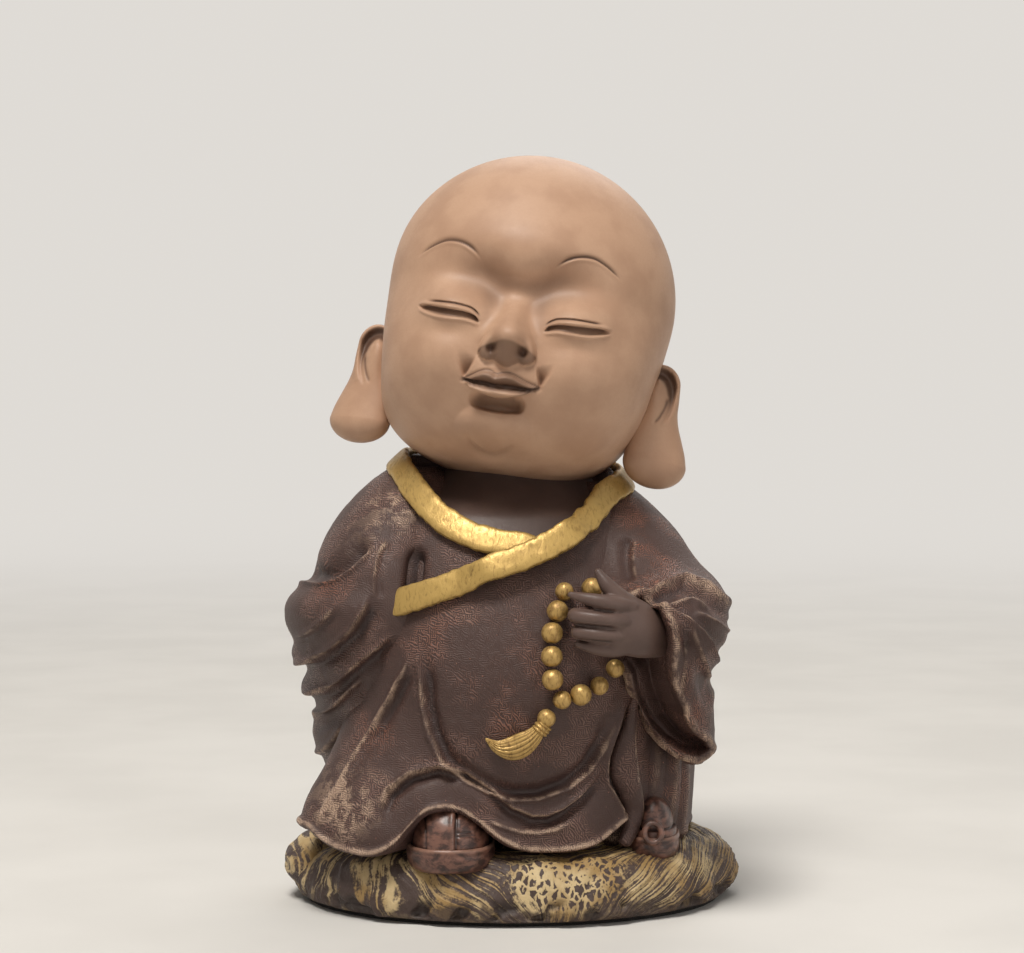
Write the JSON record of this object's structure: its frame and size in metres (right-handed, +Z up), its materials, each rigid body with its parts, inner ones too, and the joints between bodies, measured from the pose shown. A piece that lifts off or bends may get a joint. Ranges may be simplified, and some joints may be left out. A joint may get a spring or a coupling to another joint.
{
  "type": "monk figurine",
  "caption": "Standing child monk with a large bald head, long ears, crossed-collar robe and a string of beads with a tassel, on a rough rock-like base.",
  "frame": {"origin": "middle of the underside of the felt pad, half-way between the outermost points of the whole each way", "axes": "+Z up; the figure faces -Y; its right hand side is towards -X"},
  "size_m": [0.0983, 0.0822, 0.16],
  "materials": {
    "felt": "matt felt",
    "earth": "cast resin painted like rock, ochre over dark umber",
    "robe_brown": "textured cast resin with dry-brushed edges",
    "skin": "smooth matt resin",
    "dark_skin": "smooth matt resin",
    "collar_gold": "rough gold leaf paint on resin",
    "bead_gold": "satin antique gold paint on resin",
    "shoe_brown": "satin varnish on resin"
  },
  "bodies": {
    "root": {"felt_pad": "felt", "base_mound": "earth", "head": "skin", "right_ear": "skin", "left_ear": "skin", "left_hand": "dark_skin", "right_hand": "dark_skin", "neck_and_chest": "dark_skin", "right_shoe_sole": "shoe_brown", "right_shoe_upper": "shoe_brown", "right_shoe_strap": "shoe_brown", "left_shoe_sole": "shoe_brown", "left_shoe_upper": "shoe_brown", "left_shoe_strap": "shoe_brown", "left_shoe_buckle": "shoe_brown", "robe_body": "robe_brown", "inner_skirt": "robe_brown", "robe_front_flap": "robe_brown", "right_sleeve": "robe_brown", "left_sleeve": "robe_brown", "collar_under_band": "collar_gold", "collar_over_band": "collar_gold", "bead_01": "bead_gold", "bead_02": "bead_gold", "bead_03": "bead_gold", "bead_04": "bead_gold", "bead_05": "bead_gold", "bead_06": "bead_gold", "bead_07": "bead_gold", "bead_08": "bead_gold", "bead_09": "bead_gold", "bead_10": "bead_gold", "tassel_bead": "bead_gold", "tassel_cap": "bead_gold", "tassel": "bead_gold"}
  },
  "joints": []
}
